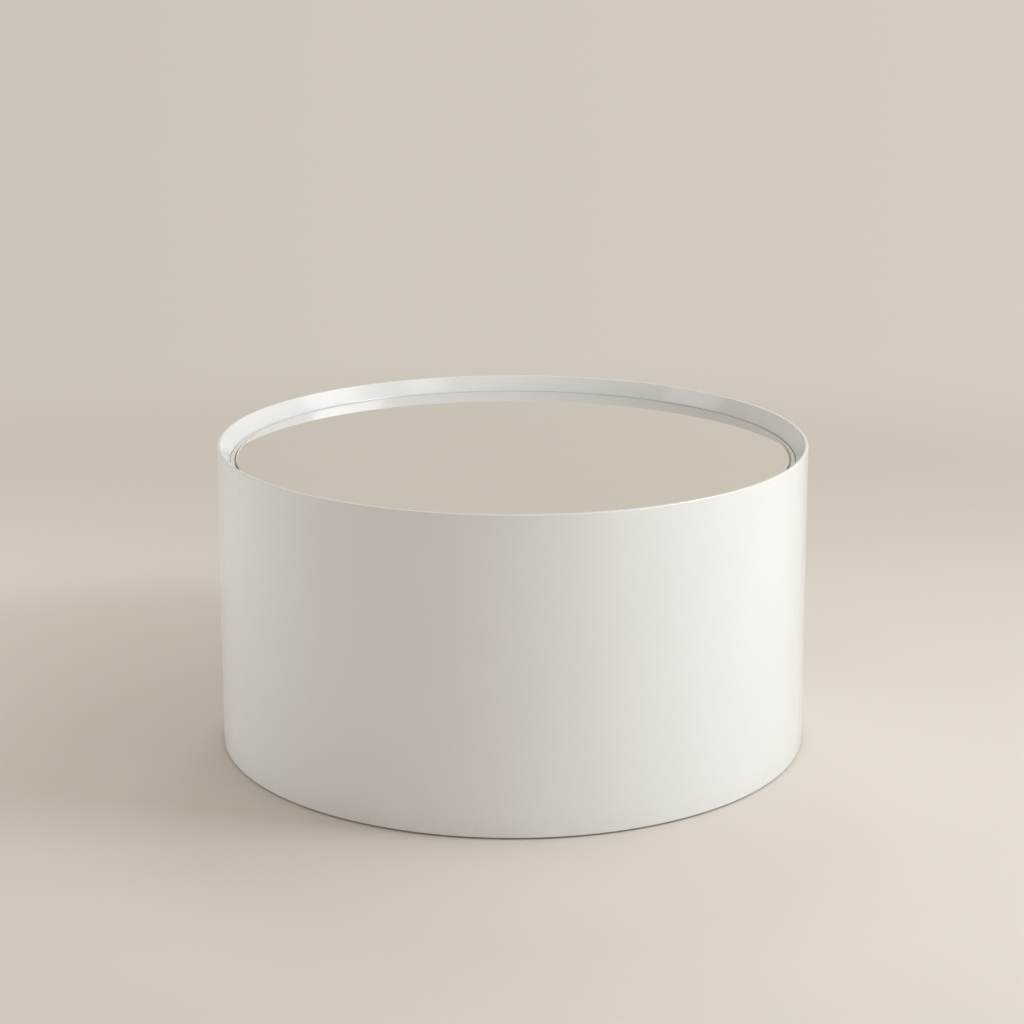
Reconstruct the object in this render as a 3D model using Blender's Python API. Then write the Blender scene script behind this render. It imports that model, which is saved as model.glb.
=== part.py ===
"""Round drum coffee table with a mirror laid into its top, as separate pieces.

Units are metres, +Z is up, and the origin is on the floor at the centre of the drum.
"""

from math import cos, pi, radians, sin, sqrt, tan, tau

import bmesh
import bpy
from mathutils import Matrix, Vector

# Drum: the bent wall, with its sloped inner top edge
TABLE_DIAMETER = 0.800
TABLE_HEIGHT = 0.415
FLOOR_REVEAL = 0.002
WALL_THICKNESS = 0.0165
RIM_LAND = 0.004
RIM_SLOPE_HEIGHT = 0.0207
EDGE_ROUND = 0.0015

# Mirror and the soft pads under it
MIRROR_DEPTH = 0.0195
MIRROR_THICKNESS = 0.004
MIRROR_GROOVE = 0.0085
MIRROR_BEVEL_WIDTH = 0.0035
MIRROR_BEVEL_DROP = 0.0015
MIRROR_ARRIS = 0.0005
PAD_COUNT = 8
PAD_DIAMETER = 0.020
PAD_THICKNESS = 0.001
PAD_CHAMFER = 0.0003
PAD_INSET = 0.060

# Trim ring on the deck, in the groove between the mirror and the wall
TRIM_DROP = 0.003
TRIM_MIRROR_GAP = 0.002

# Deck, formers, battens and rails inside the drum
DECK_THICKNESS = 0.018
FORMER_THICKNESS = 0.018
FORMER_WIDTH = 0.060
BATTEN_COUNT = 8
BATTEN_WIDTH = 0.040
BATTEN_DEPTH = 0.020
RAIL_THICKNESS = 0.018
RAIL_HEIGHT = 0.060
RAIL_TONGUE_LENGTH = 0.015
RAIL_TONGUE_HEIGHT = 0.009
RAIL_END_COUNT = 4

# Screws that hold the deck down on the top former
SCREW_COUNT = 8
SCREW_DIAMETER = 0.005
SCREW_HEAD_DIAMETER = 0.010
SCREW_HEAD_HEIGHT = 0.003
SCREW_HEAD_ROUND = 0.0018
SCREW_POINT_LENGTH = 0.004
SCREW_COVER = 0.006

# Levelling feet: a moulded sole, a stud and a flanged nut in the base former
FOOT_COUNT = 4
FOOT_DIAMETER = 0.040
FOOT_WALL_CLEARANCE = 0.010
SOLE_HEIGHT = 0.006
SOLE_ROUND = 0.0015
HEX_ACROSS_FLATS = 0.017
HEX_HEIGHT = 0.004
SOCKET_FLOOR = 0.003
STUD_DIAMETER = 0.008
STUD_LENGTH = 0.040
STUD_CHAMFER = 0.0008
NUT_FLANGE_DIAMETER = 0.022
NUT_FLANGE_THICKNESS = 0.0015
NUT_BARREL_DIAMETER = 0.011
NUT_BARREL_LENGTH = 0.012

# Clearances and facets
FIT_GAP = 0.0003
THREAD_GAP = 0.0002
CUT_OVERRUN = 0.005
ROUND_SIDES = 96
SMALL_SIDES = 16
SOLE_SIDES = 32
HEX_SIDES = 6
FILLET_STEPS = 2
SHARP_ANGLE = radians(30)
MERGE_DISTANCE = 1e-6

# Radii that follow from the sizes above
DRUM_RADIUS = TABLE_DIAMETER / 2
WALL_INNER = DRUM_RADIUS - WALL_THICKNESS
FACET_SHARE = cos(pi / ROUND_SIDES)
FORMER_OUTER = WALL_INNER - FIT_GAP
FORMER_INNER = WALL_INNER - FORMER_WIDTH
MIRROR_RADIUS = WALL_INNER - MIRROR_GROOVE
TRIM_INNER = MIRROR_RADIUS + TRIM_MIRROR_GAP
PAD_CIRCLE = MIRROR_RADIUS - PAD_INSET
BATTEN_OUTER = sqrt((WALL_INNER * FACET_SHARE - FIT_GAP) ** 2 - (BATTEN_WIDTH / 2) ** 2)
BATTEN_INNER = BATTEN_OUTER - BATTEN_DEPTH
SCREW_CIRCLE = (FORMER_INNER + BATTEN_INNER) / 2
FOOT_CIRCLE = WALL_INNER - FOOT_WALL_CLEARANCE - FOOT_DIAMETER / 2
RAIL_SHOULDER = sqrt((FORMER_INNER * FACET_SHARE) ** 2 - (RAIL_THICKNESS / 2) ** 2) - FIT_GAP

# Heights that follow, down from the rim and up from the floor
MIRROR_TOP = TABLE_HEIGHT - MIRROR_DEPTH
MIRROR_BOTTOM = MIRROR_TOP - MIRROR_THICKNESS
PAD_BOTTOM = MIRROR_BOTTOM - FIT_GAP - PAD_THICKNESS
DECK_TOP = PAD_BOTTOM - FIT_GAP
TRIM_BOTTOM = DECK_TOP + FIT_GAP
TRIM_TOP = MIRROR_TOP - TRIM_DROP
DECK_BOTTOM = DECK_TOP - DECK_THICKNESS
FRAME_TOP = DECK_BOTTOM - FIT_GAP
TOP_FORMER_BOTTOM = FRAME_TOP - FORMER_THICKNESS
NUT_BOTTOM = SOLE_HEIGHT + HEX_HEIGHT + FIT_GAP
FRAME_BOTTOM = NUT_BOTTOM + NUT_FLANGE_THICKNESS + FIT_GAP
MIDDLE_FORMER_BOTTOM = (FRAME_BOTTOM + TOP_FORMER_BOTTOM) / 2
SCREW_TIP = DECK_TOP - SCREW_COVER


def clear_scene():
    for item in list(bpy.data.objects):
        bpy.data.objects.remove(item, do_unlink=True)


def finish(name, colour, roughness, metallic=0.0):
    """A material with one colour, roughness and metallic value."""
    material = bpy.data.materials.new(name)
    material.use_nodes = True
    shader = material.node_tree.nodes["Principled BSDF"]
    shader.inputs["Base Color"].default_value = (*colour, 1.0)
    shader.inputs["Roughness"].default_value = roughness
    shader.inputs["Metallic"].default_value = metallic
    return material


def polar(radius, angle, height=0.0):
    return Vector((radius * cos(angle), radius * sin(angle), height))


def spread(count, phase=0.5):
    """Equal angles round the drum, the first one a share of a step from +X."""
    return [(index + phase) * tau / count for index in range(count)]


def fillet(before, corner, after, radius):
    """Points of the arc that rounds a corner between two straight lines."""
    corner = Vector(corner)
    to_before = (Vector(before) - corner).normalized()
    to_after = (Vector(after) - corner).normalized()
    half_angle = to_before.angle(to_after) / 2
    centre = corner + (to_before + to_after).normalized() * radius / sin(half_angle)
    first = (corner + to_before * radius / tan(half_angle) - centre).normalized()
    last = (corner + to_after * radius / tan(half_angle) - centre).normalized()
    shares = [step / FILLET_STEPS for step in range(FILLET_STEPS + 1)]
    return [tuple(centre + radius * first.slerp(last, share)) for share in shares]


def rounded(corners):
    """Profile points for corners given as (radius, height, rounding)."""
    points = []
    for index, (radius, height, rounding) in enumerate(corners):
        before = corners[index - 1][:2]
        after = corners[(index + 1) % len(corners)][:2]
        if rounding:
            points += fillet(before, (radius, height), after, rounding)
        else:
            points.append((radius, height))
    return points


def turned(profile, sides=SMALL_SIDES):
    """A closed profile of (radius, height) points, spun about +Z."""
    shape = bmesh.new()
    points = [shape.verts.new((radius, 0, height)) for radius, height in profile]
    pairs = zip(points, points[1:] + points[:1])
    lines = [shape.edges.new(pair) for pair in pairs if pair[0].co.x > 0 or pair[1].co.x > 0]
    bmesh.ops.spin(
        shape, geom=points + lines, cent=(0, 0, 0), axis=(0, 0, 1), angle=tau, steps=sides, use_merge=True
    )
    bmesh.ops.remove_doubles(shape, verts=shape.verts, dist=MERGE_DISTANCE)
    return shape


def ring(inner, outer, height):
    return turned([(inner, 0), (outer, 0), (outer, height), (inner, height)], ROUND_SIDES)


def plate(outline, thickness):
    """An outline in the XZ plane, made as thick as given across Y."""
    shape = bmesh.new()
    face = shape.faces.new([shape.verts.new((along, -thickness / 2, height)) for along, height in outline])
    grown = bmesh.ops.extrude_face_region(shape, geom=[face])["geom"]
    moved = [item for item in grown if isinstance(item, bmesh.types.BMVert)]
    bmesh.ops.translate(shape, verts=moved, vec=(0, thickness, 0))
    return shape


def add_box(shape, angle, near, far, width, bottom, top):
    """A box that runs outwards along one angle, from one radius to another."""
    middle = Matrix.Translation(((near + far) / 2, 0, (bottom + top) / 2))
    size = Matrix.Diagonal((far - near, width, top - bottom, 1))
    bmesh.ops.create_cube(shape, size=1, matrix=Matrix.Rotation(angle, 4, "Z") @ middle @ size)


def add_rod(shape, centre, diameter, bottom, top, sides=SMALL_SIDES):
    """An upright rod, with a corner of its outline on +X."""
    place = Matrix.Translation((centre.x, centre.y, (bottom + top) / 2)) @ Matrix.Rotation(pi / 2, 4, "Z")
    bmesh.ops.create_cone(
        shape,
        cap_ends=True,
        segments=sides,
        radius1=diameter / 2,
        radius2=diameter / 2,
        depth=top - bottom,
        matrix=place,
    )


def piece(name, shape, material, location=(0, 0, 0), angle=0.0, parent=None):
    """A named object made from a bmesh, at its place in the table."""
    bmesh.ops.recalc_face_normals(shape, faces=shape.faces)
    mesh = bpy.data.meshes.new(name)
    shape.to_mesh(mesh)
    shape.free()
    mesh.materials.append(material)
    mesh.shade_smooth()
    mesh.set_sharp_from_angle(angle=SHARP_ANGLE)
    made = bpy.data.objects.new(name, mesh)
    made.location = location
    made.rotation_euler.z = angle
    made.parent = parent
    bpy.context.scene.collection.objects.link(made)
    return made


def combine(target, shape, operation, name):
    """Cuts a helper shape out of a piece, or joins it on. The helper isn't a piece of the table."""
    helper = piece(name, shape, target.data.materials[0], target.location, 0.0, target.parent)
    helper.hide_render = True
    helper.display_type = "WIRE"
    modifier = target.modifiers.new(name, "BOOLEAN")
    modifier.operation = operation
    modifier.solver = "EXACT"
    modifier.object = helper


def make_drum_shell(lacquer):
    profile = rounded([
        (WALL_INNER, FLOOR_REVEAL, 0),
        (DRUM_RADIUS, FLOOR_REVEAL, EDGE_ROUND),
        (DRUM_RADIUS, TABLE_HEIGHT, EDGE_ROUND),
        (DRUM_RADIUS - RIM_LAND, TABLE_HEIGHT, EDGE_ROUND),
        (WALL_INNER, TABLE_HEIGHT - RIM_SLOPE_HEIGHT, 0),
    ])
    piece("drum_shell", turned(profile, ROUND_SIDES), lacquer)


def make_mirror(silver):
    """The loose mirror, bevelled on top, with its origin on the axis that it lifts along."""
    profile = [
        (0, 0),
        (MIRROR_RADIUS - MIRROR_ARRIS, 0),
        (MIRROR_RADIUS, MIRROR_ARRIS),
        (MIRROR_RADIUS, MIRROR_THICKNESS - MIRROR_BEVEL_DROP),
        (MIRROR_RADIUS - MIRROR_BEVEL_WIDTH, MIRROR_THICKNESS),
        (0, MIRROR_THICKNESS),
    ]
    piece("mirror_top", turned(profile, ROUND_SIDES), silver, (0, 0, MIRROR_BOTTOM))


def make_trim_ring(lacquer):
    shape = ring(TRIM_INNER, FORMER_OUTER, TRIM_TOP - TRIM_BOTTOM)
    piece("trim_ring", shape, lacquer, (0, 0, TRIM_BOTTOM))


def make_mirror_pads(silicone):
    radius = PAD_DIAMETER / 2
    profile = [
        (0, 0),
        (radius, 0),
        (radius, PAD_THICKNESS - PAD_CHAMFER),
        (radius - PAD_CHAMFER, PAD_THICKNESS),
        (0, PAD_THICKNESS),
    ]
    for number, angle in enumerate(spread(PAD_COUNT), 1):
        place = polar(PAD_CIRCLE, angle, PAD_BOTTOM)
        piece(f"mirror_pad_{number}", turned(profile), silicone, place)


def make_deck(lacquer):
    """The panel under the mirror, with a blind hole for each screw in its underside."""
    outline = [(0, 0), (FORMER_OUTER, 0), (FORMER_OUTER, DECK_THICKNESS), (0, DECK_THICKNESS)]
    deck = piece("deck_panel", turned(outline, ROUND_SIDES), lacquer, (0, 0, DECK_BOTTOM))
    holes = bmesh.new()
    for angle in spread(SCREW_COUNT):
        depth = SCREW_TIP - DECK_BOTTOM + FIT_GAP
        add_rod(holes, polar(SCREW_CIRCLE, angle), SCREW_DIAMETER + 2 * FIT_GAP, -CUT_OVERRUN, depth)
    combine(deck, holes, "DIFFERENCE", "deck_screw_holes")


def batten_notches():
    """A notch right through a former's outer edge for each batten."""
    notches = bmesh.new()
    for angle in spread(BATTEN_COUNT):
        add_box(
            notches,
            angle,
            BATTEN_INNER - FIT_GAP,
            FORMER_OUTER + CUT_OVERRUN,
            BATTEN_WIDTH + 2 * FIT_GAP,
            -CUT_OVERRUN,
            FORMER_THICKNESS + CUT_OVERRUN,
        )
    return notches


def make_former(name, board, bottom):
    former = piece(name, ring(FORMER_INNER, FORMER_OUTER, FORMER_THICKNESS), board, (0, 0, bottom))
    combine(former, batten_notches(), "DIFFERENCE", f"{name}_notches")
    return former


def make_top_former(board):
    """The former under the deck, with screw holes and housings for the rails' tongues."""
    former = make_former("top_former", board, TOP_FORMER_BOTTOM)
    holes = bmesh.new()
    for angle in spread(SCREW_COUNT):
        width = SCREW_DIAMETER + 2 * FIT_GAP
        add_rod(holes, polar(SCREW_CIRCLE, angle), width, -CUT_OVERRUN, FORMER_THICKNESS + CUT_OVERRUN)
    combine(former, holes, "DIFFERENCE", "top_former_holes")
    housings = bmesh.new()
    for angle in spread(RAIL_END_COUNT, phase=0):
        add_box(
            housings,
            angle,
            RAIL_SHOULDER - CUT_OVERRUN,
            RAIL_SHOULDER + RAIL_TONGUE_LENGTH + FIT_GAP,
            RAIL_THICKNESS + 2 * FIT_GAP,
            FORMER_THICKNESS - RAIL_TONGUE_HEIGHT - FIT_GAP,
            FORMER_THICKNESS + CUT_OVERRUN,
        )
    combine(former, housings, "DIFFERENCE", "top_former_housings")


def make_base_former(board):
    """The former near the floor, with a hole for each foot's nut."""
    former = make_former("base_former", board, FRAME_BOTTOM)
    holes = bmesh.new()
    for angle in spread(FOOT_COUNT):
        width = NUT_BARREL_DIAMETER + 2 * FIT_GAP
        add_rod(holes, polar(FOOT_CIRCLE, angle), width, -CUT_OVERRUN, FORMER_THICKNESS + CUT_OVERRUN)
    combine(former, holes, "DIFFERENCE", "base_former_holes")


def make_battens(softwood):
    for number, angle in enumerate(spread(BATTEN_COUNT), 1):
        batten = bmesh.new()
        add_box(batten, 0, BATTEN_INNER, BATTEN_OUTER, BATTEN_WIDTH, FRAME_BOTTOM, FRAME_TOP)
        piece(f"batten_{number}", batten, softwood, angle=angle)


def rail_outline(slot_from_top):
    """A rail's side view: its half slot, shoulder and tongue on one side, then the same mirrored."""
    slot = RAIL_THICKNESS / 2 + FIT_GAP
    tongue_end = RAIL_SHOULDER + RAIL_TONGUE_LENGTH
    tongue_bottom = RAIL_HEIGHT - RAIL_TONGUE_HEIGHT
    lower = [(RAIL_SHOULDER, 0), (RAIL_SHOULDER, tongue_bottom), (tongue_end, tongue_bottom)]
    right = lower + [(tongue_end, RAIL_HEIGHT)]
    if slot_from_top:
        floor = (RAIL_HEIGHT - FIT_GAP) / 2
        right = right + [(slot, RAIL_HEIGHT), (slot, floor)]
    else:
        floor = (RAIL_HEIGHT + FIT_GAP) / 2
        right = [(slot, floor), (slot, 0)] + right
    left = [(-along, height) for along, height in reversed(right)]
    return right + left


def make_rails(board):
    place = (0, 0, FRAME_TOP - RAIL_HEIGHT)
    piece("deck_rail_upper", plate(rail_outline(False), RAIL_THICKNESS), board, place)
    piece("deck_rail_lower", plate(rail_outline(True), RAIL_THICKNESS), board, place, pi / 2)


def make_deck_screws(steel):
    """Pan-head screws, each with its origin where its head bears on the top former."""
    head = SCREW_HEAD_DIAMETER / 2
    shank = SCREW_DIAMETER / 2
    bearing = TOP_FORMER_BOTTOM - FIT_GAP
    length = SCREW_TIP - bearing
    profile = rounded([
        (0, -SCREW_HEAD_HEIGHT, 0),
        (head, -SCREW_HEAD_HEIGHT, SCREW_HEAD_ROUND),
        (head, 0, 0),
        (shank, 0, 0),
        (shank, length - SCREW_POINT_LENGTH, 0),
        (0, length, 0),
    ])
    for number, angle in enumerate(spread(SCREW_COUNT), 1):
        piece(f"deck_screw_{number}", turned(profile), steel, polar(SCREW_CIRCLE, angle, bearing))


def make_foot(number, angle, nylon, steel):
    """One levelling foot. Its sole and stud hang on an empty on the axis that they screw along."""
    axis = bpy.data.objects.new(f"foot_{number}_axis", None)
    axis.location = polar(FOOT_CIRCLE, angle)
    bpy.context.scene.collection.objects.link(axis)
    make_sole(f"foot_sole_{number}", nylon, axis)
    make_stud(f"foot_stud_{number}", steel, axis)
    make_nut(f"t_nut_{number}", steel, polar(FOOT_CIRCLE, angle, NUT_BOTTOM))


def make_sole(name, nylon, axis):
    """A round sole with a hexagon on top and a socket for the stud."""
    radius = FOOT_DIAMETER / 2
    profile = rounded([
        (0, 0, 0),
        (radius, 0, SOLE_ROUND),
        (radius, SOLE_HEIGHT, SOLE_ROUND),
        (0, SOLE_HEIGHT, 0),
    ])
    sole = piece(name, turned(profile, SOLE_SIDES), nylon, parent=axis)
    top = SOLE_HEIGHT + HEX_HEIGHT
    hexagon = bmesh.new()
    across_corners = HEX_ACROSS_FLATS / cos(pi / HEX_SIDES)
    add_rod(hexagon, Vector((0, 0)), across_corners, SOLE_HEIGHT / 2, top, HEX_SIDES)
    combine(sole, hexagon, "UNION", f"{name}_hexagon")
    socket = bmesh.new()
    add_rod(socket, Vector((0, 0)), STUD_DIAMETER + 2 * FIT_GAP, SOCKET_FLOOR, top + CUT_OVERRUN)
    combine(sole, socket, "DIFFERENCE", f"{name}_socket")


def make_stud(name, steel, axis):
    radius = STUD_DIAMETER / 2
    bottom = SOCKET_FLOOR + FIT_GAP
    top = bottom + STUD_LENGTH
    profile = [
        (0, bottom),
        (radius - STUD_CHAMFER, bottom),
        (radius, bottom + STUD_CHAMFER),
        (radius, top - STUD_CHAMFER),
        (radius - STUD_CHAMFER, top),
        (0, top),
    ]
    piece(name, turned(profile), steel, parent=axis)


def make_nut(name, steel, place):
    """A flanged nut: the flange lies under the base former and the barrel stands in its hole."""
    bore = STUD_DIAMETER / 2 + THREAD_GAP
    barrel = NUT_BARREL_DIAMETER / 2
    flange = NUT_FLANGE_DIAMETER / 2
    top = NUT_FLANGE_THICKNESS + NUT_BARREL_LENGTH
    profile = [
        (bore, 0),
        (flange, 0),
        (flange, NUT_FLANGE_THICKNESS),
        (barrel, NUT_FLANGE_THICKNESS),
        (barrel, top),
        (bore, top),
    ]
    piece(name, turned(profile), steel, place)


def main():
    clear_scene()
    lacquer = finish("white_lacquer", (0.84, 0.83, 0.81), 0.08)
    silver = finish("mirror_silver", (0.86, 0.87, 0.86), 0.02, 1.0)
    board = finish("fibreboard", (0.45, 0.32, 0.20), 0.75)
    softwood = finish("softwood", (0.66, 0.47, 0.27), 0.65)
    steel = finish("zinc_steel", (0.62, 0.62, 0.60), 0.35, 1.0)
    nylon = finish("dark_nylon", (0.05, 0.05, 0.05), 0.45)
    silicone = finish("clear_silicone", (0.78, 0.80, 0.79), 0.25)
    make_drum_shell(lacquer)
    make_mirror(silver)
    make_mirror_pads(silicone)
    make_trim_ring(lacquer)
    make_deck(lacquer)
    make_top_former(board)
    make_former("middle_former", board, MIDDLE_FORMER_BOTTOM)
    make_base_former(board)
    make_battens(softwood)
    make_rails(board)
    make_deck_screws(steel)
    for number, angle in enumerate(spread(FOOT_COUNT), 1):
        make_foot(number, angle, nylon, steel)


main()
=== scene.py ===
"""Finishes, fine shapes, stage, light and camera for the round mirrored coffee table.

Units are metres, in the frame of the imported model: +Z up, origin on the floor under the drum's centre.
"""

from math import cos, pi, radians, sin, tan, tau

import bmesh
import bpy
from mathutils import Matrix, Vector


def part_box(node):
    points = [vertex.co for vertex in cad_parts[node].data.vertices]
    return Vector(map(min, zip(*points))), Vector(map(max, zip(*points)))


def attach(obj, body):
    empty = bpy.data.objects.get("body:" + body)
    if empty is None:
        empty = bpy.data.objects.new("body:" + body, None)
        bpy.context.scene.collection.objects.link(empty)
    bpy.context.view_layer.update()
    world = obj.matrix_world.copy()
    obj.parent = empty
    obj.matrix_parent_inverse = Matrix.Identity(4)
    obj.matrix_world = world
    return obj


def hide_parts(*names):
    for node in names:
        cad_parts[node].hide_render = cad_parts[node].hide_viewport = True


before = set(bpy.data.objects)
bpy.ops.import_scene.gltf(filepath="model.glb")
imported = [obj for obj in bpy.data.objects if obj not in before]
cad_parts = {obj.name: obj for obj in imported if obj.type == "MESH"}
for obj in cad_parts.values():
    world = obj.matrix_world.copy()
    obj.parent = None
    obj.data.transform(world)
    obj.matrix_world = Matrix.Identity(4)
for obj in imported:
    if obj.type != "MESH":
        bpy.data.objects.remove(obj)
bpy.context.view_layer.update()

# Sizes of the drum's wall and rim
WALL_LOW, WALL_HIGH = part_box("drum_shell")
DRUM_RADIUS = WALL_HIGH.x
WALL_THICKNESS = 0.0165
WALL_INNER = DRUM_RADIUS - WALL_THICKNESS
RIM_LAND = 0.004
RIM_SLOPE_HEIGHT = 0.0207
RIM_ROUND = 0.0015
SLOPE_ROUND = 0.003
LOW_ROUND = 0.0012

# Sizes of the mirror and of the deck under it
MIRROR_LOW, MIRROR_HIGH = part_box("mirror_top")
MIRROR_RADIUS = MIRROR_HIGH.x
MIRROR_BEVEL_WIDTH = 0.0035
MIRROR_BEVEL_DROP = 0.0015
MIRROR_ARRIS = 0.0005
DECK_LOW, DECK_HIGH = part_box("deck_panel")
DECK_ROUND = 0.0008
TRIM_LOW, TRIM_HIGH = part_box("trim_ring")
TRIM_MIRROR_GAP = 0.002
TRIM_INNER = MIRROR_RADIUS + TRIM_MIRROR_GAP
TRIM_ROUND = 0.0009

# Sizes of the small pieces
PAD_SHOULDER = 0.0006
SCREW_HEAD_HEIGHT = 0.003
SCREW_HEAD_ROUND = 0.0022
SCREW_CORE = 0.0017
SCREW_THREAD = 0.0025
SCREW_PITCH = 0.0018
SCREW_POINT = 0.004
SCREW_CREST_SHARE = 0.3
SCREW_THREAD_SHARE = 0.6
RECESS_LENGTH = 0.0052
RECESS_WIDTH = 0.0011
RECESS_DEEP_LENGTH = 0.0023
RECESS_DEEP_WIDTH = 0.0008
RECESS_DEPTH = 0.0018
SOLE_HEIGHT = 0.006
SOLE_ROUND = 0.0015
HEX_ACROSS_FLATS = 0.017
HEX_SIDES = 6
HEX_ROUND = 0.0005
STUD_PITCH = 0.00125
STUD_THREAD_DEPTH = 0.0007
NUT_FLANGE_THICKNESS = 0.0015
NUT_BORE = 0.0042
NUT_BARREL = 0.0055
NUT_ROUND = 0.0004
NUT_NOTCHES = 4
NUT_NOTCH_SIZE = 0.0045

# Fineness of the meshes
DRUM_SIDES = 384
SMALL_SIDES = 48
THREAD_SIDES = 24
THREAD_ROWS = 8
FILLET_STEPS = 6
SHARP_ANGLE = radians(35)
FLAT_ANGLE = radians(1)
WELD_DISTANCE = 1e-5
BEVEL_SEGMENTS = 2
BOARD_BEVEL = 0.0006
BATTEN_BEVEL = 0.0015

# Heights over the wall's lower edge at which dust and overspray end
DUST_HEIGHT = 0.030
OVERSPRAY_HEIGHT = 0.035

# Stage: a round floor that fades into a plain beige surround
FLOOR_RADIUS = 3.0
FLOOR_FADE_START = 0.8
FLOOR_FADE_END = 2.6
SURROUND_LOW = (0.634, 0.581, 0.507)
SURROUND_TOP = (0.387, 0.355, 0.310)
SURROUND_DIMMING_START = 0.35
SURROUND_SIDE_REACH = 0.25
SURROUND_SIDE_CHANGE = 0.06

# Softboxes: upright panels in a ring round the table
SOFTBOX_DISTANCE = 2.23
SOFTBOX_COLOUR = (0.895, 0.96, 0.99)

# Camera
CAMERA_PLACE = Vector((-0.001, -3.215, 1.193))
CAMERA_TARGET = Vector((-0.001, 0.0, 0.5424))
CAMERA_LENS = 85.3
CAMERA_SENSOR = 36.0
CAMERA_SHIFT = -0.163


class Paint:
    """A material and its node tree, built one node at a time."""

    def __init__(self, name):
        self.material = bpy.data.materials.new(name)
        self.material.use_nodes = True
        self.tree = self.material.node_tree
        self.shader = self.tree.nodes["Principled BSDF"]
        self.coordinates = self.tree.nodes.new("ShaderNodeTexCoord").outputs["Object"]

    def set(self, **values):
        """Constants on the shader's own sockets, with _ for a space in a socket's name."""
        for name, value in values.items():
            self.shader.inputs[name.replace("_", " ")].default_value = value

    def feed(self, name, source):
        self.tree.links.new(source, self.shader.inputs[name])

    def stretched(self, stretch):
        node = self.tree.nodes.new("ShaderNodeMapping")
        node.inputs["Scale"].default_value = stretch
        self.tree.links.new(self.coordinates, node.inputs["Vector"])
        return node.outputs["Vector"]

    def noise(self, scale, detail=3.0, roughness=0.55, stretch=(1, 1, 1)):
        node = self.tree.nodes.new("ShaderNodeTexNoise")
        node.inputs["Scale"].default_value = scale
        node.inputs["Detail"].default_value = detail
        node.inputs["Roughness"].default_value = roughness
        self.tree.links.new(self.stretched(stretch), node.inputs["Vector"])
        return node.outputs["Fac"]

    def rings(self, scale, distortion, stretch):
        """Growth rings round +Z."""
        node = self.tree.nodes.new("ShaderNodeTexWave")
        node.wave_type = "RINGS"
        node.rings_direction = "Z"
        node.wave_profile = "SAW"
        node.inputs["Scale"].default_value = scale
        node.inputs["Distortion"].default_value = distortion
        node.inputs["Detail"].default_value = 3.0
        self.tree.links.new(self.stretched(stretch), node.inputs["Vector"])
        return node.outputs["Fac"]

    def height(self):
        node = self.tree.nodes.new("ShaderNodeSeparateXYZ")
        self.tree.links.new(self.coordinates, node.inputs["Vector"])
        return node.outputs["Z"]

    def distance(self):
        """How far a point is from the object's origin."""
        node = self.tree.nodes.new("ShaderNodeVectorMath")
        node.operation = "LENGTH"
        self.tree.links.new(self.coordinates, node.inputs[0])
        return node.outputs["Value"]

    def span(self, source, low, high, from_low=0.0, from_high=1.0, smooth=False):
        """A number that runs from low to high as the source runs over its range."""
        node = self.tree.nodes.new("ShaderNodeMapRange")
        node.interpolation_type = "SMOOTHSTEP" if smooth else "LINEAR"
        node.inputs["From Min"].default_value = from_low
        node.inputs["From Max"].default_value = from_high
        node.inputs["To Min"].default_value = low
        node.inputs["To Max"].default_value = high
        self.tree.links.new(source, node.inputs["Value"])
        return node.outputs["Result"]

    def product(self, first, second):
        node = self.tree.nodes.new("ShaderNodeMath")
        node.operation = "MULTIPLY"
        self.tree.links.new(first, node.inputs[0])
        self.tree.links.new(second, node.inputs[1])
        return node.outputs["Value"]

    def ramp(self, source, *stops):
        """A colour ramp, with stops given as (position, colour)."""
        node = self.tree.nodes.new("ShaderNodeValToRGB")
        elements = node.color_ramp.elements
        while len(elements) < len(stops):
            elements.new(1.0)
        for element, (position, colour) in zip(elements, stops):
            element.position = position
            element.color = (*colour, 1.0)
        self.tree.links.new(source, node.inputs["Fac"])
        return node.outputs["Color"]

    def mix(self, factor, first, second):
        """Two colour outputs, mixed by a factor."""
        node = self.tree.nodes.new("ShaderNodeMix")
        node.data_type = "RGBA"
        self.tree.links.new(factor, node.inputs["Factor"])
        self.tree.links.new(first, node.inputs[6])
        self.tree.links.new(second, node.inputs[7])
        return node.outputs[2]

    def bump(self, source, strength, distance):
        node = self.tree.nodes.new("ShaderNodeBump")
        node.inputs["Strength"].default_value = strength
        node.inputs["Distance"].default_value = distance
        self.tree.links.new(source, node.inputs["Height"])
        self.feed("Normal", node.outputs["Normal"])


def gloss_lacquer():
    """White polyester lacquer: a faint orange peel, a slow drift of tone and dust near the floor."""
    paint = Paint("white_gloss_lacquer")
    drift = paint.noise(5.0, detail=2.0)
    clean = paint.ramp(drift, (0.30, (0.703, 0.697, 0.697)), (0.70, (0.716, 0.711, 0.711)))
    speckle = paint.noise(160.0, detail=4.0, roughness=0.7)
    dusty = paint.ramp(speckle, (0.35, (0.63, 0.62, 0.60)), (0.65, (0.705, 0.70, 0.69)))
    low = paint.span(paint.height(), 1.0, 0.0, WALL_LOW.z, WALL_LOW.z + DUST_HEIGHT)
    paint.feed("Base Color", paint.mix(paint.product(low, paint.noise(60.0)), clean, dusty))
    paint.feed("Roughness", paint.span(paint.noise(9.0), 0.10, 0.16))
    paint.bump(paint.noise(260.0, detail=1.0), 0.05, 0.0002)
    paint.set(IOR=1.50, Coat_Weight=0.35, Coat_Roughness=0.03)
    return paint.material


def deck_lacquer():
    """Thinner white lacquer over board, where the board's fibres just show."""
    paint = Paint("white_deck_lacquer")
    fibres = paint.noise(420.0, detail=5.0)
    paint.feed("Base Color", paint.ramp(fibres, (0.3, (0.74, 0.73, 0.71)), (0.7, (0.79, 0.785, 0.77))))
    paint.feed("Roughness", paint.span(paint.noise(40.0), 0.14, 0.22))
    paint.bump(fibres, 0.05, 0.0003)
    return paint.material


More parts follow.
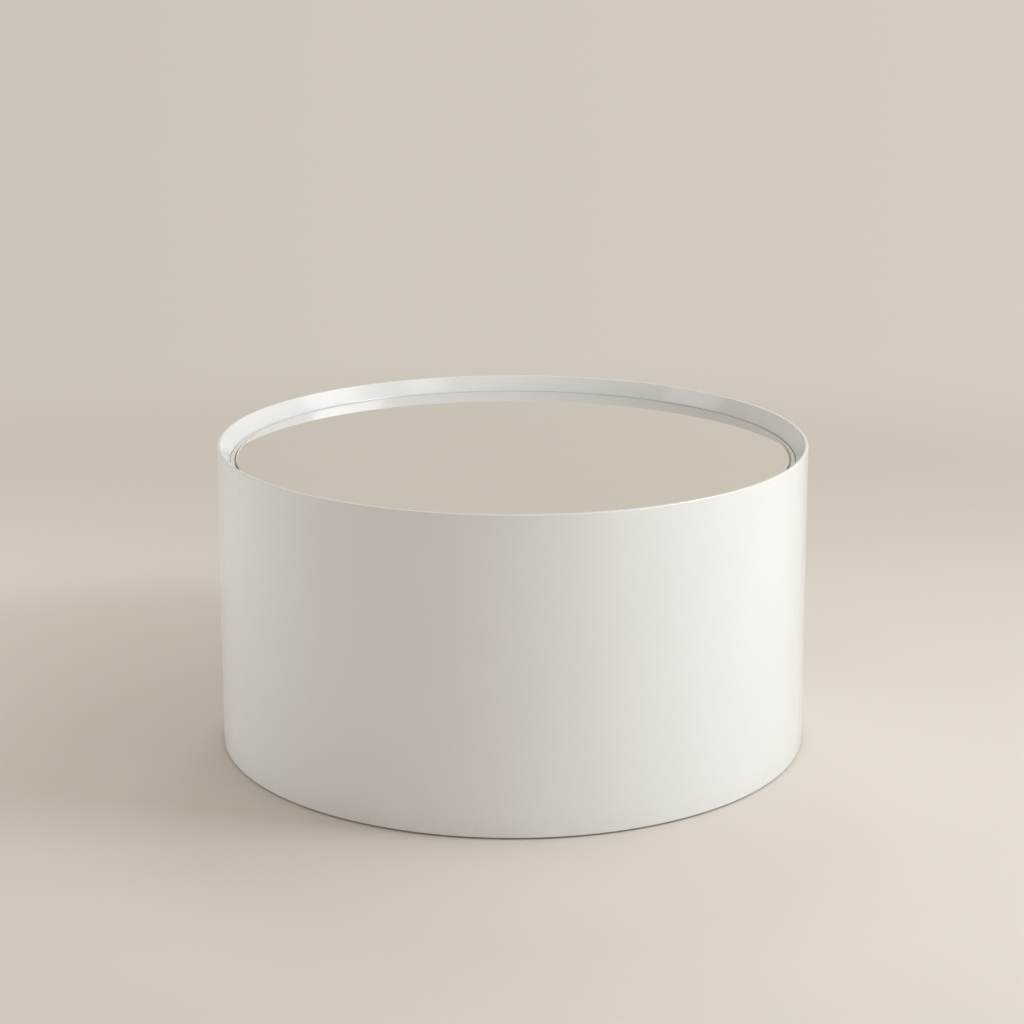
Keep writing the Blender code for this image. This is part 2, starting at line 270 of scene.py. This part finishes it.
def mirror_silver():
    """Silvered float glass with a trace of wiping marks."""
    paint = Paint("mirror_silver")
    wipes = paint.noise(7.0, detail=5.0, roughness=0.6, stretch=(1, 3, 1))
    paint.feed("Base Color", paint.ramp(wipes, (0.3, (0.905, 0.888, 0.884)), (0.7, (0.915, 0.898, 0.894))))
    paint.feed("Roughness", paint.span(wipes, 0.005, 0.022, 0.35, 0.75))
    paint.set(Metallic=1.0)
    return paint.material


def glass_edge():
    """The polished edge of the glass, dark and a little green."""
    paint = Paint("polished_glass_edge")
    streaks = paint.noise(30.0, detail=2.0, stretch=(1, 1, 8))
    tint = paint.ramp(streaks, (0.3, (0.030, 0.045, 0.040)), (0.7, (0.060, 0.080, 0.072)))
    paint.feed("Base Color", tint)
    paint.feed("Roughness", paint.span(streaks, 0.05, 0.11))
    paint.set(IOR=1.52, Coat_Weight=0.6, Coat_Roughness=0.04)
    return paint.material


def backing_paint():
    """Grey paint that guards the silver on the mirror's back, rolled on."""
    paint = Paint("mirror_backing_paint")
    rolled = paint.noise(300.0, detail=4.0)
    paint.feed("Base Color", paint.ramp(rolled, (0.3, (0.17, 0.165, 0.16)), (0.7, (0.22, 0.215, 0.205))))
    paint.feed("Roughness", paint.span(rolled, 0.45, 0.62))
    paint.bump(rolled, 0.2, 0.0002)
    return paint.material


def fibreboard():
    """Raw fibreboard: fine speckled fibres, with darker patches."""
    paint = Paint("raw_fibreboard")
    fibres = paint.noise(850.0, detail=6.0, roughness=0.7)
    plain = paint.ramp(fibres, (0.25, (0.33, 0.22, 0.125)), (0.75, (0.50, 0.36, 0.22)))
    dark = paint.ramp(fibres, (0.25, (0.24, 0.155, 0.085)), (0.75, (0.40, 0.275, 0.165)))
    patches = paint.span(paint.noise(45.0, detail=4.0), 0.0, 1.0, 0.45, 0.75)
    paint.feed("Base Color", paint.mix(patches, plain, dark))
    paint.feed("Roughness", paint.span(fibres, 0.70, 0.90))
    paint.bump(fibres, 0.35, 0.0003)
    return paint.material


def planed_pine():
    """Pine with long grain up each batten."""
    paint = Paint("planed_pine")
    grain = paint.rings(62.0, 7.0, (1, 1, 0.05))
    wood = paint.ramp(
        grain,
        (0.0, (0.66, 0.47, 0.27)),
        (0.55, (0.61, 0.41, 0.22)),
        (0.9, (0.44, 0.25, 0.115)),
        (1.0, (0.62, 0.43, 0.24)),
    )
    stripes = paint.noise(500.0, detail=4.0, stretch=(1, 1, 0.03))
    pale = paint.ramp(stripes, (0.3, (0.58, 0.39, 0.21)), (0.7, (0.72, 0.53, 0.32)))
    paint.feed("Base Color", paint.mix(paint.span(stripes, 0.25, 0.6), wood, pale))
    paint.feed("Roughness", paint.span(grain, 0.52, 0.70))
    paint.bump(stripes, 0.25, 0.0003)
    return paint.material


def bent_ply():
    """The wall's bare inner face, with upright grain and white overspray at its lower edge."""
    paint = Paint("bent_ply")
    stripes = paint.noise(240.0, detail=5.0, stretch=(1, 1, 0.025))
    wood = paint.ramp(
        stripes,
        (0.25, (0.45, 0.31, 0.19)),
        (0.5, (0.58, 0.43, 0.28)),
        (0.8, (0.66, 0.51, 0.35)),
    )
    mist = paint.noise(700.0, detail=3.0)
    white = paint.ramp(mist, (0.3, (0.70, 0.69, 0.67)), (0.7, (0.79, 0.785, 0.77)))
    low = paint.span(paint.height(), 1.0, 0.0, WALL_LOW.z, WALL_LOW.z + OVERSPRAY_HEIGHT)
    spray = paint.product(low, paint.span(mist, 0.4, 1.4))
    paint.feed("Base Color", paint.mix(spray, wood, white))
    paint.feed("Roughness", paint.span(stripes, 0.60, 0.80))
    paint.bump(stripes, 0.3, 0.0003)
    return paint.material


def zinc_steel():
    """Bright zinc plate with the faint mottling of its passivation."""
    paint = Paint("zinc_plated_steel")
    mottling = paint.noise(350.0, detail=4.0)
    plate = paint.ramp(
        mottling,
        (0.3, (0.55, 0.56, 0.57)),
        (0.5, (0.66, 0.66, 0.64)),
        (0.75, (0.70, 0.67, 0.58)),
    )
    paint.feed("Base Color", plate)
    paint.feed("Roughness", paint.span(mottling, 0.24, 0.42))
    paint.bump(paint.noise(1500.0, detail=2.0), 0.12, 0.0001)
    paint.set(Metallic=1.0)
    return paint.material


def moulded_nylon():
    """Dark moulded nylon with a fine spark-eroded grain."""
    paint = Paint("moulded_nylon")
    grain = paint.noise(1400.0, detail=3.0)
    paint.feed("Base Color", paint.ramp(grain, (0.3, (0.028, 0.028, 0.030)), (0.7, (0.050, 0.050, 0.052))))
    paint.feed("Roughness", paint.span(grain, 0.38, 0.55))
    paint.bump(grain, 0.2, 0.0001)
    return paint.material


def clear_silicone():
    """Soft clear bumpers, slightly cloudy."""
    paint = Paint("clear_silicone")
    cloud = paint.noise(260.0, detail=3.0)
    paint.feed("Base Color", paint.ramp(cloud, (0.3, (0.76, 0.79, 0.78)), (0.7, (0.86, 0.88, 0.87))))
    paint.feed("Roughness", paint.span(cloud, 0.16, 0.30))
    paint.set(IOR=1.41, Transmission_Weight=0.5)
    return paint.material


def studio_paint():
    """Matt pale paint on the floor, which fades away from the table."""
    paint = Paint("studio_paint")
    drift = paint.noise(0.9, detail=3.0)
    paint.feed("Base Color", paint.ramp(drift, (0.3, (0.678, 0.622, 0.575)), (0.7, (0.699, 0.642, 0.592))))
    paint.feed("Roughness", paint.span(paint.noise(40.0), 0.75, 0.90))
    fade = paint.span(paint.distance(), 1.0, 0.0, FLOOR_FADE_START, FLOOR_FADE_END, smooth=True)
    paint.feed("Alpha", fade)
    return paint.material


def polar(radius, angle, height=0.0):
    return Vector((radius * cos(angle), radius * sin(angle), height))


def centre_of(node):
    """The middle of a node's box, at the height of its lowest point."""
    low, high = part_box(node)
    return Vector(((low.x + high.x) / 2, (low.y + high.y) / 2, low.z))


def round_size(node):
    """The radius and the height of an upright round node."""
    low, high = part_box(node)
    return (high.x - low.x) / 2, high.z - low.z


def numbered(stem):
    """The names of the nodes that share a stem and differ in their number."""
    return sorted(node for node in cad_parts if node.startswith(f"{stem}_"))


def fillet(before, corner, after, radius):
    """Points of the arc that rounds a corner between two straight lines."""
    corner = Vector(corner)
    to_before = (Vector(before) - corner).normalized()
    to_after = (Vector(after) - corner).normalized()
    half_angle = to_before.angle(to_after) / 2
    centre = corner + (to_before + to_after).normalized() * radius / sin(half_angle)
    first = (corner + to_before * radius / tan(half_angle) - centre).normalized()
    last = (corner + to_after * radius / tan(half_angle) - centre).normalized()
    shares = [step / FILLET_STEPS for step in range(FILLET_STEPS + 1)]
    return [tuple(centre + radius * first.slerp(last, share)) for share in shares]


def rounded(corners):
    """Profile points (radius, height, slot) for corners given as (radius, height, rounding, slot)."""
    points = []
    for index, (radius, height, rounding, slot) in enumerate(corners):
        before = corners[index - 1][:2]
        after = corners[(index + 1) % len(corners)][:2]
        arc = fillet(before, (radius, height), after, rounding) if rounding else [(radius, height)]
        points += [(*point, slot) for point in arc]
    return points


def turned(profile, sides, closed=True):
    """A profile spun about +Z. The band after each point takes that point's material slot."""
    shape = bmesh.new()
    rings = []
    for radius, height, _ in profile:
        angles = [step * tau / sides for step in range(sides)] if radius else [0.0]
        rings.append([shape.verts.new(polar(radius, angle, height)) for angle in angles])
    following = rings[1:] + rings[:1] if closed else rings[1:]
    for (_, _, slot), ring, other in zip(profile, rings, following):
        for step in range(sides):
            places = [(ring, step), (ring, step + 1), (other, step + 1), (other, step)]
            corners = dict.fromkeys(line[place % len(line)] for line, place in places)
            if len(corners) > 2:
                shape.faces.new(corners).material_index = slot
    return shape


def carved(shape, cutter, operation="DIFFERENCE"):
    """A shape after a Boolean with a cutter. Both are used up."""
    made = []
    for source in (shape, cutter):
        bmesh.ops.recalc_face_normals(source, faces=source.faces)
        mesh = bpy.data.meshes.new("carving")
        source.to_mesh(mesh)
        source.free()
        made.append(bpy.data.objects.new("carving", mesh))
        bpy.context.scene.collection.objects.link(made[-1])
    modifier = made[0].modifiers.new("carving", "BOOLEAN")
    modifier.operation = operation
    modifier.solver = "EXACT"
    modifier.object = made[1]
    evaluated = made[0].evaluated_get(bpy.context.evaluated_depsgraph_get())
    result = bmesh.new()
    result.from_mesh(evaluated.to_mesh())
    evaluated.to_mesh_clear()
    bmesh.ops.remove_doubles(result, verts=result.verts, dist=WELD_DISTANCE)
    for item in made:
        bpy.data.meshes.remove(item.data)
    return result


def finished_mesh(name, shape, materials):
    """A smooth-shaded mesh with sharp corners, from a bmesh that is used up."""
    bmesh.ops.recalc_face_normals(shape, faces=shape.faces)
    mesh = bpy.data.meshes.new(name)
    shape.to_mesh(mesh)
    shape.free()
    for material in materials:
        mesh.materials.append(material)
    mesh.shade_smooth()
    mesh.set_sharp_from_angle(angle=SHARP_ANGLE)
    return mesh


def add_piece(name, mesh, body, node, place=(0, 0, 0)):
    """A piece that rides on a body and stands for a node."""
    piece = bpy.data.objects.new(name, mesh)
    piece.location = place
    bpy.context.scene.collection.objects.link(piece)
    even = piece.modifiers.new("even_normals", "WEIGHTED_NORMAL")
    even.keep_sharp = True
    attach(piece, body)
    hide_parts(node)


def make_drum_wall():
    """The lacquered wall, bare on the inside below the deck. Its rim slopes down to the mirror's groove."""
    outside, inside = 0, 1
    profile = rounded([
        (WALL_INNER, WALL_LOW.z, LOW_ROUND, outside),
        (DRUM_RADIUS, WALL_LOW.z, LOW_ROUND, outside),
        (DRUM_RADIUS, WALL_HIGH.z, RIM_ROUND, outside),
        (DRUM_RADIUS - RIM_LAND, WALL_HIGH.z, RIM_ROUND, outside),
        (WALL_INNER, WALL_HIGH.z - RIM_SLOPE_HEIGHT, SLOPE_ROUND, outside),
        (WALL_INNER, DECK_HIGH.z, 0, inside),
    ])
    mesh = finished_mesh("drum_wall", turned(profile, DRUM_SIDES), [gloss_lacquer(), bent_ply()])
    add_piece("drum_wall", mesh, "drum", "drum_shell")


def make_mirror():
    """The loose mirror: silver face and bevel, polished edge, painted back."""
    silver, edge, back = 0, 1, 2
    profile = [
        (0, MIRROR_LOW.z, back),
        (MIRROR_RADIUS - MIRROR_ARRIS, MIRROR_LOW.z, edge),
        (MIRROR_RADIUS, MIRROR_LOW.z + MIRROR_ARRIS, edge),
        (MIRROR_RADIUS, MIRROR_HIGH.z - MIRROR_BEVEL_DROP, silver),
        (MIRROR_RADIUS - MIRROR_BEVEL_WIDTH, MIRROR_HIGH.z, silver),
        (0, MIRROR_HIGH.z, silver),
    ]
    finishes = [mirror_silver(), glass_edge(), backing_paint()]
    mesh = finished_mesh("mirror_glass", turned(profile, DRUM_SIDES, closed=False), finishes)
    add_piece("mirror_glass", mesh, "mirror", "mirror_top")


def make_trim_ring(lacquer):
    """The ring between mirror and wall, with its upper edges rounded."""
    profile = rounded([
        (TRIM_INNER, TRIM_LOW.z, 0, 0),
        (TRIM_HIGH.x, TRIM_LOW.z, 0, 0),
        (TRIM_HIGH.x, TRIM_HIGH.z, TRIM_ROUND, 0),
        (TRIM_INNER, TRIM_HIGH.z, TRIM_ROUND, 0),
    ])
    mesh = finished_mesh("white_ring", turned(profile, DRUM_SIDES), [lacquer])
    add_piece("white_ring", mesh, "drum", "trim_ring")


def make_deck(lacquer, board):
    """The panel under the mirror, lacquered on top and raw below."""
    white, raw = 0, 1
    profile = rounded([
        (0, DECK_LOW.z, 0, raw),
        (DECK_HIGH.x, DECK_LOW.z, DECK_ROUND, raw),
        (DECK_HIGH.x, DECK_HIGH.z, DECK_ROUND, white),
        (0, DECK_HIGH.z, 0, white),
    ])
    mesh = finished_mesh("deck_board", turned(profile, DRUM_SIDES, closed=False), [lacquer, board])
    add_piece("deck_board", mesh, "drum", "deck_panel")


def make_pads():
    """Low round bumpers under the mirror, with rounded shoulders."""
    radius, height = round_size("mirror_pad_1")
    profile = rounded([
        (0, 0, 0, 0),
        (radius, 0, 0, 0),
        (radius, height, PAD_SHOULDER, 0),
        (0, height, 0, 0),
    ])
    mesh = finished_mesh("mirror_bumper", turned(profile, SMALL_SIDES, closed=False), [clear_silicone()])
    for node in numbered("mirror_pad"):
        add_piece(node.replace("pad", "bumper"), mesh, "drum", node, centre_of(node))


def recess_slot(angle):
    """One slot of a cross recess, which tapers upwards into a screw's head."""
    cutter = bmesh.new()
    corners = bmesh.ops.create_cube(cutter, size=1)["verts"]
    for corner in corners:
        deep = corner.co.z > 0
        corner.co.x *= RECESS_DEEP_LENGTH if deep else RECESS_LENGTH
        corner.co.y *= RECESS_DEEP_WIDTH if deep else RECESS_WIDTH
        corner.co.z *= 2 * RECESS_DEPTH
    bmesh.ops.rotate(cutter, verts=corners, cent=(0, 0, 0), matrix=Matrix.Rotation(angle, 3, "Z"))
    return cutter


def make_screws(steel):
    """Pan-head screws with a cross recess and a coarse thread."""
    head, length = round_size("deck_screw_1")
    profile = rounded([
        (0, 0, 0, 0),
        (head, 0, SCREW_HEAD_ROUND, 0),
        (head, SCREW_HEAD_HEIGHT, 0, 0),
        (SCREW_CORE, SCREW_HEAD_HEIGHT, 0, 0),
    ])
    height = SCREW_HEAD_HEIGHT + SCREW_PITCH
    while height < length - SCREW_POINT - SCREW_PITCH:
        profile.append((SCREW_CORE, height, 0))
        profile.append((SCREW_THREAD, height + SCREW_CREST_SHARE * SCREW_PITCH, 0))
        profile.append((SCREW_CORE, height + SCREW_THREAD_SHARE * SCREW_PITCH, 0))
        height += SCREW_PITCH
    profile.append((SCREW_CORE, length - SCREW_POINT, 0))
    profile.append((0, length, 0))
    shape = turned(profile, THREAD_SIDES, closed=False)
    for angle in (0, pi / 2):
        shape = carved(shape, recess_slot(angle))
    mesh = finished_mesh("pan_screw", shape, [steel])
    for node in numbered("deck_screw"):
        add_piece(node.replace("deck", "pan"), mesh, "drum", node, centre_of(node))


def hexagon(bottom, top):
    """An upright hexagon with rounded edges, for a spanner."""
    shape = bmesh.new()
    corner_radius = HEX_ACROSS_FLATS / 2 / cos(pi / HEX_SIDES)
    bmesh.ops.create_cone(
        shape,
        cap_ends=True,
        segments=HEX_SIDES,
        radius1=corner_radius,
        radius2=corner_radius,
        depth=top - bottom,
        matrix=Matrix.Translation((0, 0, (bottom + top) / 2)),
    )
    bmesh.ops.bevel(
        shape,
        geom=shape.edges,
        offset=HEX_ROUND,
        offset_type="OFFSET",
        segments=BEVEL_SEGMENTS,
        profile=0.5,
        affect="EDGES",
    )
    return shape


def make_soles():
    """Moulded soles with a hexagon for a spanner and a socket for the stud."""
    radius, height = round_size("foot_sole_1")
    bore, stud_length = round_size("foot_stud_1")
    socket_floor = centre_of("foot_stud_1").z
    socket_top = socket_floor + stud_length
    profile = rounded([
        (0, 0, 0, 0),
        (radius, 0, SOLE_ROUND, 0),
        (radius, SOLE_HEIGHT, SOLE_ROUND, 0),
        (0, SOLE_HEIGHT, 0, 0),
    ])
    shape = carved(turned(profile, SMALL_SIDES, closed=False), hexagon(SOLE_HEIGHT / 2, height), "UNION")
    socket = [(0, socket_floor, 0), (bore, socket_floor, 0), (bore, socket_top, 0), (0, socket_top, 0)]
    shape = carved(shape, turned(socket, SMALL_SIDES, closed=False))
    mesh = finished_mesh("glide_sole", shape, [moulded_nylon()])
    for node in numbered("foot_sole"):
        body = node.replace("_sole", "")
        add_piece(node.replace("foot", "glide"), mesh, body, node, centre_of(node))


def threaded_rod(radius, length):
    """A rod with a helical thread and a chamfer at both ends."""
    shape = bmesh.new()
    rows = round(length / STUD_PITCH * THREAD_ROWS)
    lines = []
    for row in range(rows + 1):
        height = row * length / rows
        taper = max(0.0, 1.0 - min(height, length - height) / STUD_PITCH)
        line = []
        for step in range(THREAD_SIDES):
            turn = (height / STUD_PITCH - step / THREAD_SIDES) % 1.0
            groove = STUD_THREAD_DEPTH * max(abs(2 * turn - 1), taper)
            line.append(shape.verts.new(polar(radius - groove, step * tau / THREAD_SIDES, height)))
        lines.append(line)
    for line, other in zip(lines, lines[1:]):
        for step in range(THREAD_SIDES):
            after = (step + 1) % THREAD_SIDES
            shape.faces.new((line[step], line[after], other[after], other[step]))
    shape.faces.new(lines[0])
    shape.faces.new(lines[-1])
    return shape


def make_studs(steel):
    """Threaded studs that stand in the soles."""
    mesh = finished_mesh("threaded_stud", threaded_rod(*round_size("foot_stud_1")), [steel])
    for node in numbered("foot_stud"):
        body = node.replace("_stud", "")
        add_piece(node.replace("foot", "threaded"), mesh, body, node, centre_of(node))


def make_nuts(steel):
    """Flanged nuts with notches in the flange."""
    flange, height = round_size("t_nut_1")
    profile = rounded([
        (NUT_BORE, 0, NUT_ROUND, 0),
        (flange, 0, NUT_ROUND, 0),
        (flange, NUT_FLANGE_THICKNESS, NUT_ROUND, 0),
        (NUT_BARREL, NUT_FLANGE_THICKNESS, 0, 0),
        (NUT_BARREL, height, NUT_ROUND, 0),
        (NUT_BORE, height, NUT_ROUND, 0),
    ])
    notches = bmesh.new()
    for number in range(NUT_NOTCHES):
        angle = (number + 0.5) * tau / NUT_NOTCHES
        place = Matrix.Translation(polar(flange, angle)) @ Matrix.Rotation(angle, 4, "Z")
        bmesh.ops.create_cube(notches, size=NUT_NOTCH_SIZE, matrix=place)
    mesh = finished_mesh("tee_nut", carved(turned(profile, SMALL_SIDES), notches), [steel])
    for node in numbered("t_nut"):
        add_piece(node.replace("t_nut", "tee_nut"), mesh, "drum", node, centre_of(node))


def smooth_by_angle():
    """A node group that shades a mesh smooth, with sharp edges where its faces meet at an angle."""
    group = bpy.data.node_groups.new("smooth_by_angle", "GeometryNodeTree")
    group.interface.new_socket("Mesh", in_out="INPUT", socket_type="NodeSocketGeometry")
    group.interface.new_socket("Mesh", in_out="OUTPUT", socket_type="NodeSocketGeometry")
    start = group.nodes.new("NodeGroupInput")
    end = group.nodes.new("NodeGroupOutput")
    faces = group.nodes.new("GeometryNodeSetShadeSmooth")
    edges = group.nodes.new("GeometryNodeSetShadeSmooth")
    edges.domain = "EDGE"
    angle = group.nodes.new("GeometryNodeInputMeshEdgeAngle")
    below = group.nodes.new("FunctionNodeCompare")
    below.operation = "LESS_THAN"
    below.inputs["B"].default_value = SHARP_ANGLE
    group.links.new(start.outputs[0], faces.inputs["Geometry"])
    group.links.new(faces.outputs[0], edges.inputs["Geometry"])
    group.links.new(angle.outputs["Unsigned Angle"], below.inputs["A"])
    group.links.new(below.outputs[0], edges.inputs["Shade Smooth"])
    group.links.new(edges.outputs[0], end.inputs[0])
    return group


def soften(node, width, smoothing):
    """Eases a carried-over node's edges with modifiers, its own mesh left as it is."""
    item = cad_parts[node]
    weld = item.modifiers.new("weld", "WELD")
    weld.merge_threshold = WELD_DISTANCE
    flat = item.modifiers.new("flat_faces", "DECIMATE")
    flat.decimate_type = "DISSOLVE"
    flat.angle_limit = FLAT_ANGLE
    bevel = item.modifiers.new("eased_edges", "BEVEL")
    bevel.width = width
    bevel.segments = BEVEL_SEGMENTS
    bevel.limit_method = "ANGLE"
    item.modifiers.new("smoothing", "NODES").node_group = smoothing


def finish_boards(board, pine):
    """Formers and rails in raw fibreboard, battens in pine."""
    smoothing = smooth_by_angle()
    boards = ["top_former", "middle_former", "base_former", "deck_rail_upper", "deck_rail_lower"]
    for nodes, material, width in ((boards, board, BOARD_BEVEL), (numbered("batten"), pine, BATTEN_BEVEL)):
        for node in nodes:
            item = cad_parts[node]
            item.data.materials.clear()
            item.data.materials.append(material)
            soften(node, width, smoothing)


def make_stage():
    """A round floor that isn't part of the table."""
    shape = turned([(0, 0, 0), (FLOOR_RADIUS, 0, 0)], DRUM_SIDES, closed=False)
    floor = bpy.data.objects.new("studio_floor", finished_mesh("studio_floor", shape, [studio_paint()]))
    bpy.context.scene.collection.objects.link(floor)


def make_surround():
    """A plain surround, dimmer overhead and a little brighter towards +X."""
    world = bpy.data.worlds.new("studio_surround")
    world.use_nodes = True
    nodes = world.node_tree.nodes
    links = world.node_tree.links
    direction = nodes.new("ShaderNodeSeparateXYZ")
    links.new(nodes.new("ShaderNodeTexCoord").outputs["Generated"], direction.inputs["Vector"])
    tone = nodes.new("ShaderNodeValToRGB")
    low, top = tone.color_ramp.elements
    low.position = SURROUND_DIMMING_START
    low.color = (*SURROUND_LOW, 1.0)
    top.color = (*SURROUND_TOP, 1.0)
    links.new(direction.outputs["Z"], tone.inputs["Fac"])
    links.new(tone.outputs["Color"], nodes["Background"].inputs["Color"])
    side = nodes.new("ShaderNodeMapRange")
    side.inputs["From Min"].default_value = -SURROUND_SIDE_REACH
    side.inputs["From Max"].default_value = SURROUND_SIDE_REACH
    side.inputs["To Min"].default_value = 1 - SURROUND_SIDE_CHANGE
    side.inputs["To Max"].default_value = 1 + SURROUND_SIDE_CHANGE
    links.new(direction.outputs["X"], side.inputs["Value"])
    links.new(side.outputs["Result"], nodes["Background"].inputs["Strength"])
    bpy.context.scene.world = world


def add_softbox(name, azimuth, width, bottom, top, power, mirrored=True):
    """An upright softbox that faces the table's axis. Azimuths run from the camera's side towards +X."""
    light = bpy.data.lights.new(name, "AREA")
    light.shape = "RECTANGLE"
    light.size = width
    light.size_y = top - bottom
    light.energy = power
    light.color = SOFTBOX_COLOUR
    lamp = bpy.data.objects.new(name, light)
    lamp.location = polar(SOFTBOX_DISTANCE, radians(azimuth) - pi / 2, (bottom + top) / 2)
    lamp.rotation_euler = (pi / 2, 0, radians(azimuth))
    lamp.visible_camera = False
    lamp.visible_glossy = mirrored
    bpy.context.scene.collection.objects.link(lamp)


def make_light():
    """Key, side and front panels at the right, a high panel behind and fill at the left.

    Panels that aren't mirrored light the table but stay out of its reflections.
    """
    add_softbox("key", azimuth=73, width=0.79, bottom=1.65, top=2.3, power=39)
    add_softbox("side_high", azimuth=117, width=1.5, bottom=2.5, top=4.75, power=26)
    add_softbox("side_upper", azimuth=99, width=1.25, bottom=1.85, top=2.5, power=6)
    add_softbox("side_middle", azimuth=90, width=0.79, bottom=0.95, top=1.65, power=12, mirrored=False)
    add_softbox("front_high", azimuth=50, width=0.79, bottom=2.5, top=4.0, power=5)
    add_softbox("front_low", azimuth=42, width=0.79, bottom=0.02, top=0.6, power=8.3)
    add_softbox("back_high", azimuth=180, width=0.79, bottom=2.5, top=4.0, power=21, mirrored=False)
    add_softbox("fill_low", azimuth=-98, width=1.8, bottom=0.05, top=0.95, power=17, mirrored=False)
    add_softbox("fill_upper", azimuth=-99, width=1.3, bottom=1.85, top=2.5, power=3.6)


def make_camera():
    data = bpy.data.cameras.new("camera")
    data.sensor_width = CAMERA_SENSOR
    data.lens = CAMERA_LENS
    data.shift_y = CAMERA_SHIFT
    camera = bpy.data.objects.new("camera", data)
    camera.location = CAMERA_PLACE
    camera.rotation_euler = (CAMERA_TARGET - CAMERA_PLACE).to_track_quat("-Z", "Y").to_euler()
    bpy.context.scene.collection.objects.link(camera)
    bpy.context.scene.camera = camera


def main():
    bpy.context.scene.view_settings.view_transform = "Standard"
    thin_lacquer = deck_lacquer()
    board = fibreboard()
    steel = zinc_steel()
    make_camera()
    make_stage()
    make_surround()
    make_light()
    make_drum_wall()
    make_mirror()
    make_trim_ring(thin_lacquer)
    make_deck(thin_lacquer, board)
    make_pads()
    make_screws(steel)
    make_soles()
    make_studs(steel)
    make_nuts(steel)
    finish_boards(board, planed_pine())


main()
